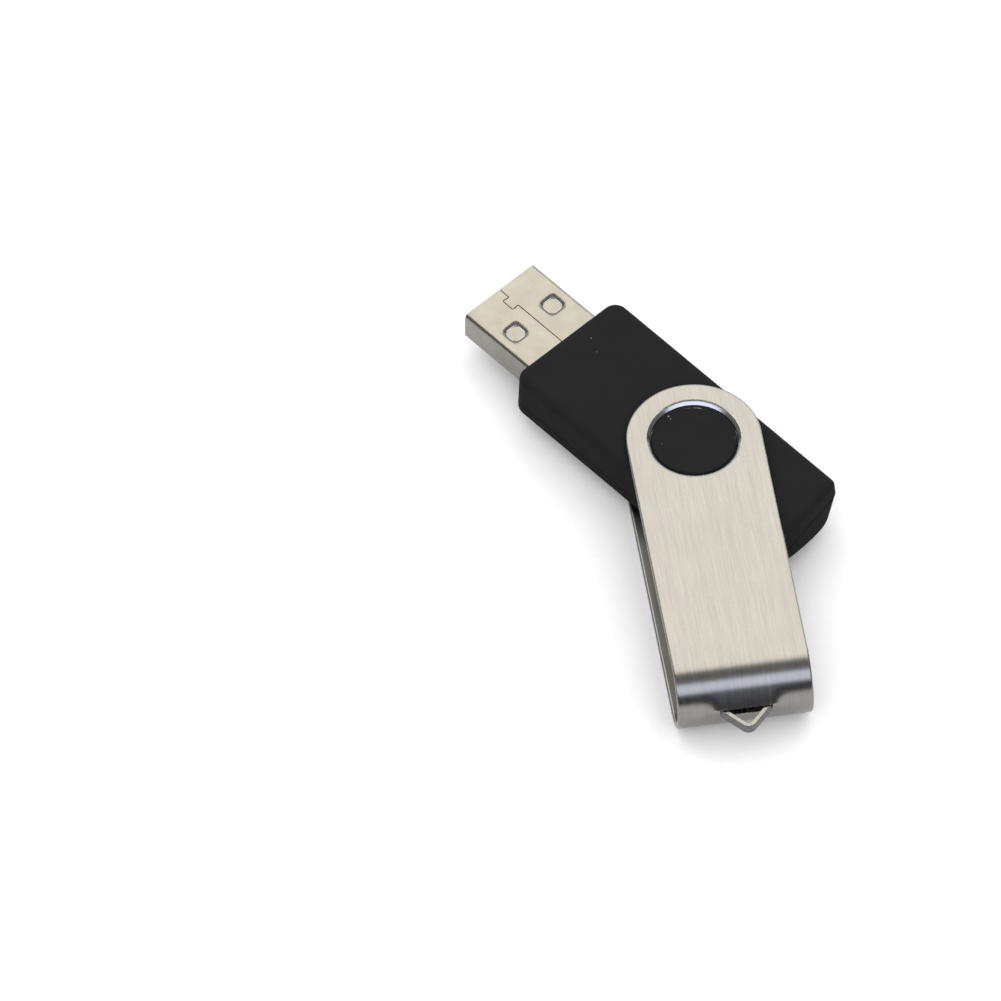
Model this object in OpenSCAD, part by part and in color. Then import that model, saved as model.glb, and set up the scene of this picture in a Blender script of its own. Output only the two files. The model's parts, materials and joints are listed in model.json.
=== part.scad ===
// Swivel-cover USB memory stick.
// Origin: on the swivel axis, at the underside of the cover's lower leg.
// +Z is up, the plug points towards -X, and the cover is swung out towards +X, -Y.

/* [Cover] */
// Width of the steel strip that the cover is bent from
cover_w = 17.1; // [16.9:0.1:18.5]
// Outer height of the folded cover
cover_h = 10; // [9.6:0.1:11]
// Thickness of the steel sheet
sheet_t = 0.8; // [0.6:0.05:0.9]
// Distance from the swivel axis to the outermost point of the bend
cover_reach = 39.5; // [38.5:0.1:42]
// Angle that the cover is swung out from its closed position, over the plug
cover_swing = 145.6; // [0:0.1:359.9]
// Radius of the round hole in each leg
hole_r = 5.45; // [4.5:0.05:6]
// Radius of the rolled edge around each hole
rim_r = 0.38; // [0.2:0.02:0.45]

/* [Lanyard loop] */
// How far the loop's tip stands out from the bend
loop_reach = 2.85; // [2.5:0.05:5]
// Inner width of the loop where it leaves the bend
loop_root_w = 6; // [5:0.1:8]
// Height of the strip that forms the loop
loop_band_h = 1.3; // [1:0.1:2]
// Thickness of the strip that forms the loop
loop_band_t = 0.7; // [0.5:0.05:0.9]
// Outer radius of the loop's rounded tip
loop_tip_r = 1.1; // [0.9:0.05:1.5]

/* [Body] */
// Width across the body's flat sides
body_w = 18.1; // [17:0.1:19.5]
// Distance from the swivel axis to the body's front face, where the plug comes out
body_front = 23.6; // [22:0.05:26]
// Distance from the swivel axis to the middle of the body's curved rear end
body_rear = 17.9; // [15:0.1:19]
// Radius of the curved rear end, seen from above
rear_arc_r = 25; // [18:0.5:60]
// Corner radius at the front, seen from above
front_corner_r = 2.3; // [1:0.1:3.5]
// Corner radius at the rear, seen from above
rear_corner_r = 1; // [0.5:0.1:2]
// Rounding of the body's upper edges
edge_r = 1.1; // [0.4:0.1:1.5]
// How far the walls lean in towards the body's underside
lean_in = 0.9; // [0:0.05:1]
// Height above the body's underside at which the walls start to lean in
lean_rise = 1.8; // [1:0.1:2.5]
// Slope of the joint between the shells, in degrees: it is lowest on the -Y wall
joint_slope = 10; // [0:0.5:10]
// Gap between the body's faces and the cover's legs
leg_gap = 0.2; // [0.05:0.05:0.3]
// Wall thickness of the two half shells
wall_t = 1; // [0.8:0.1:1.4]
// How far the round bosses stay below the cover's outer surfaces
boss_sink = 0.3; // [0.2:0.05:0.38]

/* [Plug] */
// Width of the plug's metal shell
plug_w = 12; // [12:0.1:12]
// Height of the plug's metal shell
plug_h = 4.5; // [4.5:0.1:4.5]
// Whole length of the plug's metal shell
plug_len = 18.75; // [17:0.05:20]
// Length of the plug that stands out of the body
plug_out = 11.7; // [11:0.05:12.2]
// Thickness of the plug's sheet metal
plug_sheet_t = 0.3; // [0.25:0.05:0.35]

/* [Circuit board] */
// Width of the board
board_w = 12.4; // [12.2:0.1:12.6]
// Thickness of the board
board_t = 1; // [0.8:0.1:1.2]
// Distance from the swivel axis to the board's rear edge
board_rear = 11.8; // [11.2:0.1:12]

/* [Hidden] */
$fn = 96;
// Overlap that makes a cut run clean through a face
cut = 0.5;
// Middle height of the whole stick
mid_z = cover_h / 2;

// Colours
steel_c = [0.83, 0.81, 0.78];
plug_c = [0.85, 0.82, 0.77];
black_c = [0.13, 0.13, 0.13];
insulator_c = [0.92, 0.91, 0.88];
gold_c = [0.86, 0.69, 0.33];
board_c = [0.06, 0.27, 0.15];
tin_c = [0.76, 0.77, 0.78];

// Cover
bend_r = cover_h / 2;
bend_x = cover_reach - bend_r;
loop_tip_x = cover_reach + loop_reach - loop_tip_r;

// Body
plug_gap = 0.05;
boss_gap = 0.05;
body_z0 = sheet_t + leg_gap;
body_z1 = cover_h - body_z0;
cavity_z0 = body_z0 + wall_t;
cavity_z1 = body_z1 - wall_t;
boss_r = hole_r - boss_gap;
edge_steps = 6;
foot_r = 0.3;

// Locating posts between the half shells
post_r = 0.7;
pin_r = 0.4;
pin_gap = 0.05;
pin_len = 1.2;
front_post = [2.7 - body_front, plug_w / 2 + post_r + 0.5];
rear_post = [board_rear + 1.5, 4.8];

// Plug
plug_front_x = -(body_front + plug_out);
plug_rear_x = plug_front_x + plug_len;
plug_bend_r = 0.45;
plug_inner_w = plug_w - 2 * plug_sheet_t;
plug_inner_h = plug_h - 2 * plug_sheet_t;
seam_gap = 0.06;
// Interlocking tab of the seam: start and end behind the front edge, depth and flare
tab_from = 1.6;
tab_to = 3.5;
tab_depth = 1;
tab_flare = 0.15;
// Stamped squares on the plug's broad faces
dimple_w = 1.9;
dimple_depth = 0.2;
dimple_x = plug_front_x + 6.3;
dimple_y = 3.2;
// Side tabs that are soldered to the board
side_tab_len = 2.35;
side_tab_z0 = mid_z - 1;
side_tab_h = 2;

// Insulator and contacts
tongue_front_x = plug_front_x + 0.4;
tongue_t = 1.95;
tongue_w = plug_inner_w - 0.1;
tongue_z0 = mid_z + plug_inner_h / 2 - tongue_t;
block_from_x = -(body_front - 0.6);
block_to_x = plug_rear_x - 0.75;
contact_w = 1;
contact_t = 0.2;
contact_proud = 0.05;
contact_z0 = tongue_z0 - contact_proud;
contact_tail_x = plug_rear_x + 1.75;
outer_contact_y = 3.5;
inner_contact_y = 1;
outer_contact_x = tongue_front_x + 0.9;
inner_contact_x = tongue_front_x + 1.9;

// Circuit board, soldered under the contact tails
board_z1 = contact_z0;
board_z0 = board_z1 - board_t;
board_front_x = block_to_x + 0.3;
board_step_x = plug_rear_x + side_tab_len + 0.3;
rail_len = 1.5;
front_rail_x = board_step_x + 1;
rear_rail_x = board_rear - 0.9;
rail_hold = 0.9;

// Chips
chip_lift = 0.05;
flash_size = [18.4, 12, 1];
flash_x = 0.8;
flash_pin_count = 24;
controller_size = [7, 7, 1.4];
controller_x = -5.6;
controller_pin_count = 12;
lead_pitch = 0.5;
lead_w = 0.22;
lead_t = 0.13;
crystal_size = [5, 3.2, 0.6];
crystal_lid_size = [4.4, 2.6, 0.35];
crystal_pos = [4, 0];
// Small parts: length, width and height, and the length of each end cap
small_size = [1.6, 0.8, 0.75];
small_cap_len = 0.3;
resistor_h = 0.45;
led_size = [1.6, 0.8, 0.3];
led_pos = [-11.6, 0];

// Small capacitors under the board and on top of it: [x, y]
under_capacitors = [for (x = [-0.2, 8.6]) for (y = [-4.4, 4.4]) [x, y]];
top_capacitors = [[-11.6, 4.2]];
// Small resistors under the board and on top of it
under_resistors = [for (y = [-4.4, 4.4]) [4.2, y]];
top_resistors = [[-11.6, 2.2], [-11.6, -2.2]];

// Rectangle with rounded corners, centred on the origin
module rounded_rect(w, h, r) {
  square([w - 2 * r, h], center = true);
  square([w, h - 2 * r], center = true);
  for (x = [-1, 1], y = [-1, 1])
    translate([x * (w / 2 - r), y * (h / 2 - r)]) circle(r = r, $fn = 32);
}

// Box that is centred on its own X and Y and stands on z
module standing_box(size, pos, z) {
  translate([pos[0] - size[0] / 2, pos[1] - size[1] / 2, z]) cube(size);
}

// Extrudes a section drawn as [y, z] from x0 to x1
module extrude_x(x0, x1) {
  translate([x0, 0, 0]) rotate([90, 0, 90]) linear_extrude(x1 - x0) children();
}

// Outline of the body from above, moved inwards by inset: the front corners and the
// corners of the curved rear end have radii of their own
module body_plan(inset) {
  length = body_front + body_rear;
  beyond = 5;
  offset(delta = -inset)
    intersection() {
      offset(r = front_corner_r, $fn = 32) offset(delta = -front_corner_r)
        translate([-body_front, -body_w / 2]) square([length + beyond, body_w]);
      offset(r = rear_corner_r, $fn = 32) offset(delta = -rear_corner_r)
        intersection() {
          translate([-body_front - beyond, -body_w / 2]) square([length + 2 * beyond, body_w]);
          union() {
            translate([-body_front - beyond, -body_w / 2]) square([body_front + beyond, body_w]);
            translate([body_rear - rear_arc_r, 0]) circle(r = rear_arc_r, $fn = 160);
          }
        }
    }
}

// Solid body with rounded upper edges and walls that lean in towards the underside
module body_block() {
  hull() {
    for (i = [0 : edge_steps]) {
      a = 90 * i / edge_steps;
      translate([0, 0, mid_z])
        linear_extrude(body_z1 - edge_r * (1 - sin(a)) - mid_z)
          body_plan(edge_r * (1 - cos(a)));
    }
    translate([0, 0, body_z0 + lean_rise]) linear_extrude(mid_z - body_z0 - lean_rise) body_plan(0);
    translate([0, 0, body_z0 + foot_r]) linear_extrude(lean_rise - foot_r) body_plan(lean_in);
    translate([0, 0, body_z0]) linear_extrude(foot_r) body_plan(lean_in + foot_r);
  }
}

// Turns what is drawn for the upper shell upside down, about the body's long middle axis
module upside_down() {
  translate([0, 0, cover_h]) rotate([180, 0, 0]) children();
}

// Everything above the joint between the shells
module above_joint() {
  translate([0, 0, mid_z]) rotate([joint_slope, 0, 0])
    translate([-body_front - cut, -body_w, 0])
      cube([body_front + body_rear + 2 * cut, 2 * body_w, cover_h]);
}

// Locating post that hangs from the shell's skin to the middle height
module post(pos) {
  translate([pos[0], pos[1], mid_z]) cylinder(r = post_r, h = cavity_z1 - mid_z + wall_t / 2);
}

// One half shell, drawn as the upper one. Its children are the whole body's outside,
// and rails_z is the board face that its rails rest on
module body_shell(rails_z) {
  color(black_c)
    difference() {
      union() {
        difference() {
          intersection() {
            children();
            above_joint();
          }
          translate([0, 0, cavity_z0]) linear_extrude(cavity_z1 - cavity_z0) body_plan(wall_t);
          translate([0, 0, mid_z]) extrude_x(-body_front - cut, -body_front + wall_t + cut)
            rounded_rect(plug_w + 2 * plug_gap, plug_h + 2 * plug_gap, plug_bend_r + plug_gap);
        }
        translate([0, 0, body_z1 - wall_t / 2])
          cylinder(r = boss_r, h = cover_h - boss_sink - body_z1 + wall_t / 2);
        for (spot = [front_post, rear_post]) {
          post(spot);
          post([spot[0], -spot[1]]);
          translate([spot[0], spot[1], mid_z - pin_len]) cylinder(r = pin_r, h = pin_len + cut);
        }
        for (x = [front_rail_x, rear_rail_x], side = [-1, 1])
          standing_rail(x, side, rails_z);
      }
      for (spot = [front_post, rear_post])
        translate([spot[0], -spot[1], mid_z - cut])
          cylinder(r = pin_r + pin_gap, h = cut + pin_len + pin_gap);
    }
}

// Rail that presses on the board's edge
module standing_rail(x, side, rails_z) {
  rail_w = body_w / 2 - wall_t - 0.1 - board_w / 2 + rail_hold;
  y = side * (board_w / 2 - rail_hold + rail_w / 2);
  standing_box([rail_len, rail_w, cavity_z1 + wall_t / 2 - rails_z], [x + rail_len / 2, y], rails_z);
}

module upper_body_shell() {
  body_shell(board_z1) body_block();
}

module lower_body_shell() {
  upside_down() body_shell(cover_h - board_z0) upside_down() body_block();
}

// One flat leg of the cover, with its round end on the swivel axis
module cover_leg() {
  cylinder(r = cover_w / 2, h = sheet_t);
  translate([0, -cover_w / 2, 0]) cube([bend_x, cover_w, sheet_t]);
}

// Hole in a leg, with a rolled edge on the outer face at z = 0
module cover_hole() {
  translate([0, 0, -cut]) cylinder(r = hole_r, h = sheet_t + 2 * cut);
  rotate_extrude()
    difference() {
      translate([0, -cut]) square([hole_r + rim_r, cut + rim_r]);
      translate([hole_r + rim_r, rim_r]) circle(r = rim_r);
    }
}

// Outline of the lanyard loop from above: a wedge with a rounded tip
module loop_plan(root_x, root_half, tip_r) {
  hull() {
    translate([loop_tip_x, 0]) circle(r = tip_r, $fn = 32);
    translate([root_x, -root_half]) square([0.2, 2 * root_half]);
  }
}

// The cover points along +X here
module cover_strip() {
  root_x = cover_reach - sheet_t;
  difference() {
    union() {
      cover_leg();
      translate([0, 0, cover_h - sheet_t]) cover_leg();
      translate([bend_x, 0, bend_r]) rotate([90, 0, 0])
        rotate([0, 0, -90]) rotate_extrude(angle = 180)
          translate([bend_r - sheet_t, -cover_w / 2]) square([sheet_t, cover_w]);
      translate([0, 0, mid_z - loop_band_h / 2]) linear_extrude(loop_band_h)
        loop_plan(root_x + 0.3, loop_root_w / 2 + loop_band_t, loop_tip_r);
    }
    translate([0, 0, mid_z - loop_band_h / 2 - 0.001]) linear_extrude(loop_band_h + 0.002)
      loop_plan(root_x - cut, loop_root_w / 2, loop_tip_r - loop_band_t);
    cover_hole();
    translate([0, 0, cover_h]) mirror([0, 0, 1]) cover_hole();
  }
}

module swivel_cover() {
  color(steel_c) rotate([0, 0, 180 + cover_swing]) cover_strip();
}

// Closed seam down the middle of the plug's upper face, with an interlocking tab
module plug_seam() {
  g = seam_gap / 2;
  x0 = plug_front_x + tab_from;
  x1 = plug_front_x + tab_to;
  translate([0, 0, mid_z + plug_h / 2 - plug_sheet_t - cut / 4])
    linear_extrude(plug_sheet_t + cut) {
      translate([plug_front_x - cut, -g]) square([tab_from + tab_flare + cut, 2 * g]);
      translate([x1 - tab_flare, -g]) square([plug_rear_x - x1 + tab_flare + cut, 2 * g]);
      difference() {
        tab_outline(x0, x1, g);
        tab_outline(x0, x1, -g);
      }
    }
}

// Outline of the interlocking tab, grown outwards by g; its neck stays open at y = 0
module tab_outline(x0, x1, g) {
  polygon([
    [x0 + tab_flare - g, seam_gap / 2],
    [x0 - g, -tab_depth - g],
    [x1 + g, -tab_depth - g],
    [x1 - tab_flare + g, seam_gap / 2]
  ]);
}

module plug_shell() {
  z0 = mid_z - plug_h / 2;
  z1 = mid_z + plug_h / 2;
  color(plug_c) {
    difference() {
      translate([0, 0, mid_z]) extrude_x(plug_front_x, plug_rear_x)
        difference() {
          rounded_rect(plug_w, plug_h, plug_bend_r);
          rounded_rect(plug_inner_w, plug_inner_h, plug_bend_r - plug_sheet_t);
        }
      for (side = [-1, 1]) {
        standing_box([dimple_w, dimple_w, cut], [dimple_x, side * dimple_y], z1 - dimple_depth);
        standing_box([dimple_w, dimple_w, 2 * cut], [dimple_x, side * dimple_y], z0 - cut);
      }
      plug_seam();
    }
    for (side = [-1, 1]) {
      standing_box(
        [dimple_w, dimple_w, plug_sheet_t],
        [dimple_x, side * dimple_y],
        z1 - dimple_depth - plug_sheet_t
      );
      translate([plug_rear_x - cut, side * (plug_w - plug_sheet_t) / 2 - plug_sheet_t / 2, side_tab_z0])
        cube([side_tab_len + cut, plug_sheet_t, side_tab_h]);
    }
  }
}

// One contact strip, at y, from x0 at the plug's mouth to its tail on the board
module contact(y, x0) {
  color(gold_c)
    translate([x0, y - contact_w / 2, contact_z0])
      cube([contact_tail_x - x0, contact_w, contact_t]);
}

module contact_power() {
  contact(outer_contact_y, outer_contact_x);
}

module contact_data_minus() {
  contact(inner_contact_y, inner_contact_x);
}

module contact_data_plus() {
  contact(-inner_contact_y, inner_contact_x);
}

module contact_ground() {
  contact(-outer_contact_y, outer_contact_x);
}

module plug_insulator() {
  tongue_z1 = mid_z + plug_inner_h / 2;
  nose = 0.4;
  color(insulator_c)
    difference() {
      union() {
        translate([0, tongue_w / 2, 0]) rotate([90, 0, 0]) linear_extrude(tongue_w)
          polygon([
            [tongue_front_x, tongue_z0 + nose],
            [tongue_front_x + nose, tongue_z0],
            [block_from_x + cut, tongue_z0],
            [block_from_x + cut, tongue_z1],
            [tongue_front_x, tongue_z1]
          ]);
        translate([block_from_x, -tongue_w / 2, mid_z - plug_inner_h / 2])
          cube([block_to_x - block_from_x, tongue_w, plug_inner_h]);
      }
      for (y = [-outer_contact_y, outer_contact_y])
        translate([outer_contact_x, y - contact_w / 2, contact_z0])
          cube([block_to_x - outer_contact_x + cut, contact_w, contact_t]);
      for (y = [-inner_contact_y, inner_contact_y])
        translate([inner_contact_x, y - contact_w / 2, contact_z0])
          cube([block_to_x - inner_contact_x + cut, contact_w, contact_t]);
      for (side = [-1, 1])
        standing_box(
          [dimple_w + 2 * plug_gap, dimple_w + 2 * plug_gap, cut],
          [dimple_x, side * dimple_y],
          tongue_z1 - dimple_depth - plug_gap
        );
    }
}

module circuit_board() {
  color(board_c)
    translate([0, 0, board_z0]) {
      translate([board_front_x, -plug_inner_w / 2, 0])
        cube([board_step_x - board_front_x + cut, plug_inner_w, board_t]);
      translate([board_step_x, -board_w / 2, 0])
        cube([board_rear - board_step_x, board_w, board_t]);
    }
}

// Draws its children on the board's upper face, or hanging from its lower face
module on_board(upper) {
  translate([0, 0, upper ? board_z1 : board_z0])
    mirror([0, 0, upper ? 0 : 1]) children();
}

// Bent chip lead that leaves the package at x = 0 and stands on the board at z = 0
module gull_lead(exit_z) {
  reach = 0.8;
  knee = 0.25;
  drop = 0.1;
  translate([0, lead_w / 2, 0]) rotate([90, 0, 0]) linear_extrude(lead_w)
    polygon([
      [0, exit_z - lead_t / 2],
      [knee, exit_z - lead_t / 2],
      [knee + drop, 0],
      [reach, 0],
      [reach, lead_t],
      [knee + drop + lead_t, lead_t],
      [knee + lead_t, exit_z + lead_t / 2],
      [0, exit_z + lead_t / 2]
    ]);
}

// A row of leads along y, centred on the origin
module lead_row(count, exit_z) {
  for (i = [0 : count - 1])
    translate([0, (i - (count - 1) / 2) * lead_pitch, 0]) gull_lead(exit_z);
}

module flash_memory_chip() {
  color(black_c) on_board(true) standing_box(flash_size, [flash_x, 0], chip_lift);
}

module flash_memory_leads() {
  color(tin_c) on_board(true) translate([flash_x, 0, 0])
    for (turn = [0, 180]) rotate([0, 0, turn])
      translate([flash_size[0] / 2, 0, 0])
        lead_row(flash_pin_count, chip_lift + flash_size[2] / 2);
}

module controller_chip() {
  color(black_c) on_board(false) standing_box(controller_size, [controller_x, 0], chip_lift);
}

module controller_leads() {
  color(tin_c) on_board(false) translate([controller_x, 0, 0])
    for (turn = [0 : 90 : 270]) rotate([0, 0, turn])
      translate([controller_size[0] / 2, 0, 0])
        lead_row(controller_pin_count, chip_lift + controller_size[2] / 2);
}

module crystal_base() {
  color(gold_c) on_board(false) standing_box(crystal_size, crystal_pos, 0);
}

module crystal_lid() {
  color(tin_c) on_board(false) standing_box(crystal_lid_size, crystal_pos, crystal_size[2]);
}

// Middle part of a small component, between its end caps
module small_body(pos, height) {
  standing_box([small_size[0] - 2 * small_cap_len, small_size[1], height], pos, 0);
}

// The two metal end caps of a small component
module small_caps(pos, height) {
  for (side = [-1, 1])
    standing_box(
      [small_cap_len, small_size[1], height],
      [pos[0] + side * (small_size[0] - small_cap_len) / 2, pos[1]],
      0
    );
}

module capacitor_bodies() {
  color([0.62, 0.5, 0.37]) {
    on_board(false) for (p = under_capacitors) small_body(p, small_size[2]);
    on_board(true) for (p = top_capacitors) small_body(p, small_size[2]);
  }
}

module capacitor_end_caps() {
  color(tin_c) {
    on_board(false) for (p = under_capacitors) small_caps(p, small_size[2]);
    on_board(true) for (p = top_capacitors) small_caps(p, small_size[2]);
  }
}

module resistor_bodies() {
  color(black_c) {
    on_board(false) for (p = under_resistors) small_body(p, resistor_h);
    on_board(true) for (p = top_resistors) small_body(p, resistor_h);
  }
}

module resistor_end_caps() {
  color(tin_c) {
    on_board(false) for (p = under_resistors) small_caps(p, resistor_h);
    on_board(true) for (p = top_resistors) small_caps(p, resistor_h);
  }
}

module led_base() {
  color(insulator_c) on_board(true) standing_box(led_size, led_pos, 0);
}

module led_lens() {
  lens_r = led_size[1] / 2;
  color([0.9, 0.3, 0.25]) on_board(true)
    translate([led_pos[0], led_pos[1], led_size[2]]) cylinder(r = lens_r, h = led_size[2]);
}

// Solder wedges behind the four contact tails
module contact_solder_joints() {
  wedge_len = 0.6;
  color(tin_c)
    for (y = [-outer_contact_y, -inner_contact_y, inner_contact_y, outer_contact_y])
      translate([contact_tail_x, y + contact_w / 2, board_z1]) rotate([90, 0, 0])
        linear_extrude(contact_w) polygon([[0, 0], [wedge_len, 0], [0, contact_t]]);
}

// Solder fillets between the plug's side tabs and the board
module shell_solder_joints() {
  fillet = 0.6;
  color(tin_c)
    for (side = [0, 1]) mirror([0, side, 0])
      extrude_x(plug_rear_x + cut / 2, plug_rear_x + side_tab_len - cut / 2)
        polygon([
          [plug_inner_w / 2, board_z1],
          [plug_inner_w / 2, board_z1 + fillet],
          [plug_inner_w / 2 - fillet, board_z1]
        ]);
}

upper_body_shell();
lower_body_shell();
swivel_cover();
plug_shell();
plug_insulator();
contact_power();
contact_data_minus();
contact_data_plus();
contact_ground();
circuit_board();
flash_memory_chip();
flash_memory_leads();
controller_chip();
controller_leads();
crystal_base();
crystal_lid();
capacitor_bodies();
capacitor_end_caps();
resistor_bodies();
resistor_end_caps();
led_base();
led_lens();
contact_solder_joints();
shell_solder_joints();
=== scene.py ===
import json
import math

import bmesh
import bpy
from mathutils import Matrix, Vector


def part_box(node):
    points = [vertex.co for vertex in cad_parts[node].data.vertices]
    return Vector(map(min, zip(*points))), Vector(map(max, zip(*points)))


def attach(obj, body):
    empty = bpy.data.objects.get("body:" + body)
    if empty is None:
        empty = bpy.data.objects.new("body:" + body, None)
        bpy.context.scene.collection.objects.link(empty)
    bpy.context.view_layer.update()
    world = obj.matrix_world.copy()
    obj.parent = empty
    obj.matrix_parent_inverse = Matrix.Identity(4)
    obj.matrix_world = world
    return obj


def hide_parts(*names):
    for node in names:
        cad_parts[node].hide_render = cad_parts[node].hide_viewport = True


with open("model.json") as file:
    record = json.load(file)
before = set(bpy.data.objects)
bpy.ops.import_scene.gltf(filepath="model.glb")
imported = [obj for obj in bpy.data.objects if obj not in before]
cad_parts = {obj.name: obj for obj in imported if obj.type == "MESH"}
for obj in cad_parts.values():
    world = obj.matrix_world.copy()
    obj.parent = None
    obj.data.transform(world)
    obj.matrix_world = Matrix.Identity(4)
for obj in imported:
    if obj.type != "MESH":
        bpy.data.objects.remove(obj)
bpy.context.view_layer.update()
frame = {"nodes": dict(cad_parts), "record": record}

# The looks of a swivel-cover memory stick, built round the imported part. Shapes and flat patterns are in
# millimetres, and build() turns the shapes into metres. Everything else is in metres.
MM = 0.001
scene = bpy.context.scene
scene.view_settings.view_transform = "Standard"
record = frame["record"]
mounts = {m["name"]: m for m in record["mounts"]}


def box_mm(node):
    """The two far corners of a CAD node's box, in millimetres."""
    low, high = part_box(node)
    return low / MM, high / MM


# ---------------------------------------------------------------- shared sizes

# The swivel axis is x = y = 0, and the floor is z = 0.
cover_h = box_mm("swivel_cover")[1].z
mid_z = cover_h / 2
loop_at = Vector(mounts["lanyard_loop"]["pos_m"]) / MM
cover_turn = math.atan2(loop_at.y, loop_at.x)

top_low, top_high = box_mm("upper_body_shell")
body_front, body_rear = -top_low.x, top_high.x
body_half_w = top_high.y
plug_low, plug_high = box_mm("plug_shell")
plug_front, plug_rear = plug_low.x, plug_high.x
plug_half_w = plug_high.y
plug_z0, plug_z1 = plug_low.z, plug_high.z
plug_half_h = (plug_z1 - plug_z0) / 2

COVER_HALF_W = 8.55
SHEET = 0.8
COVER_REACH = 39.5  # from the swivel axis to the outside of the bend
HOLE_R = 5.45
BODY_GAP = 1.0  # from the body's flat faces to the cover's outer ones
BOSS_R = 5.4


# ---------------------------------------------------------------- mesh helpers

def steps(a, b, n):
    """n + 1 values from a to b."""
    return [a + (b - a) * i / n for i in range(n + 1)]


def bell(x, width):
    """A smooth hump: 1 at x = 0, and near 0 from twice the width on."""
    return math.exp(-(x / width) ** 2)


def sharp_by_angle(bm, degrees):
    """Smooth shading, with a hard edge where faces meet at more than the given angle."""
    limit = math.radians(degrees)
    for f in bm.faces:
        f.smooth = True
    for e in bm.edges:
        e.smooth = len(e.link_faces) == 2 and e.calc_face_angle(0) < limit


def build(name, bm, body, nodes, materials, angle, bevel=0, bevel_steps=2, clamp=True, place=None):
    """Turns a millimetre bmesh into a piece that rides on body and stands for the given CAD nodes."""
    bmesh.ops.recalc_face_normals(bm, faces=bm.faces)
    if place:
        bm.transform(place)
    for v in bm.verts:
        v.co *= MM
    sharp_by_angle(bm, angle)
    obj = object_from(bm, name)
    for m in materials:
        obj.data.materials.append(m)
    if bevel:
        mod = obj.modifiers.new("edge rounding", "BEVEL")
        mod.width = bevel * MM
        mod.segments = bevel_steps
        mod.limit_method = "WEIGHT"
        mod.use_clamp_overlap = clamp
    mod = obj.modifiers.new("even shading", "WEIGHTED_NORMAL")
    mod.keep_sharp = True
    mod.weight = 80
    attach(obj, body)
    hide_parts(*nodes)


def object_from(bm, name):
    """An object in the scene with the bmesh's shape. The bmesh is freed."""
    mesh = bpy.data.meshes.new(name)
    bm.to_mesh(mesh)
    bm.free()
    obj = bpy.data.objects.new(name, mesh)
    scene.collection.objects.link(obj)
    return obj


def cut(bm, cutter):
    """bm less the cutter, as a new bmesh. Both are closed solids."""
    obj = object_from(bm, "being_cut")
    tool = object_from(cutter, "cutter")
    mod = obj.modifiers.new("cut", "BOOLEAN")
    mod.operation = "DIFFERENCE"
    mod.solver = "EXACT"
    mod.object = tool
    bpy.context.view_layer.update()
    mesh = bpy.data.meshes.new_from_object(obj.evaluated_get(bpy.context.evaluated_depsgraph_get()))
    out = bmesh.new()
    out.from_mesh(mesh)
    bpy.data.meshes.remove(mesh)
    for o in (obj, tool):
        data = o.data
        bpy.data.objects.remove(o)
        bpy.data.meshes.remove(data)
    return out


def loft(bm, rings):
    """Quads between rings of the same number of points, closed at both ends."""
    made = [[bm.verts.new(p) for p in ring] for ring in rings]
    n = len(made[0])
    for low, high in zip(made, made[1:]):
        for i in range(n):
            bm.faces.new((low[i], low[(i + 1) % n], high[(i + 1) % n], high[i]))
    bm.faces.new(list(reversed(made[0])))
    bm.faces.new(made[-1])


def rounded_rect(half_w, half_h, r, n=6):
    """Points of a rounded rectangle, anticlockwise from the foot of its right side."""
    points = []
    for k, (sx, sy) in enumerate([(1, -1), (1, 1), (-1, 1), (-1, -1)]):
        for i in range(n + 1):
            a = math.pi / 2 * (k - 1 + i / n)
            points.append((sx * (half_w - r) + r * math.cos(a), sy * (half_h - r) + r * math.sin(a)))
    return points


def rounded_path(corners, radii, n):
    """A polyline with its inner corners rounded, as points, n steps to a corner."""
    points = [Vector(corners[0])]
    for a, b, c, r in zip(corners, corners[1:], corners[2:], radii):
        a, b, c = Vector(a), Vector(b), Vector(c)
        d1, d2 = (a - b).normalized(), (c - b).normalized()
        half = d1.angle(d2) / 2
        reach = r / math.tan(half)
        centre = b + (d1 + d2).normalized() * (r / math.sin(half))
        p, q = b + d1 * reach, b + d2 * reach
        a1 = math.atan2(p.y - centre.y, p.x - centre.x)
        a2 = math.atan2(q.y - centre.y, q.x - centre.x)
        turn = (a2 - a1 + math.pi) % (2 * math.pi) - math.pi
        for i in range(n + 1):
            t = a1 + turn * i / n
            points.append(centre + r * Vector((math.cos(t), math.sin(t))))
    points.append(Vector(corners[-1]))
    return points


def along(path, t):
    """Point at the share t of a path's length, and the direction there."""
    lengths = [(b - a).length for a, b in zip(path, path[1:])]
    want = t * sum(lengths)
    for a, b, length in zip(path, path[1:], lengths):
        if want <= length or b is path[-1]:
            return a.lerp(b, want / length if length else 0), (b - a).normalized()
        want -= length


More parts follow.
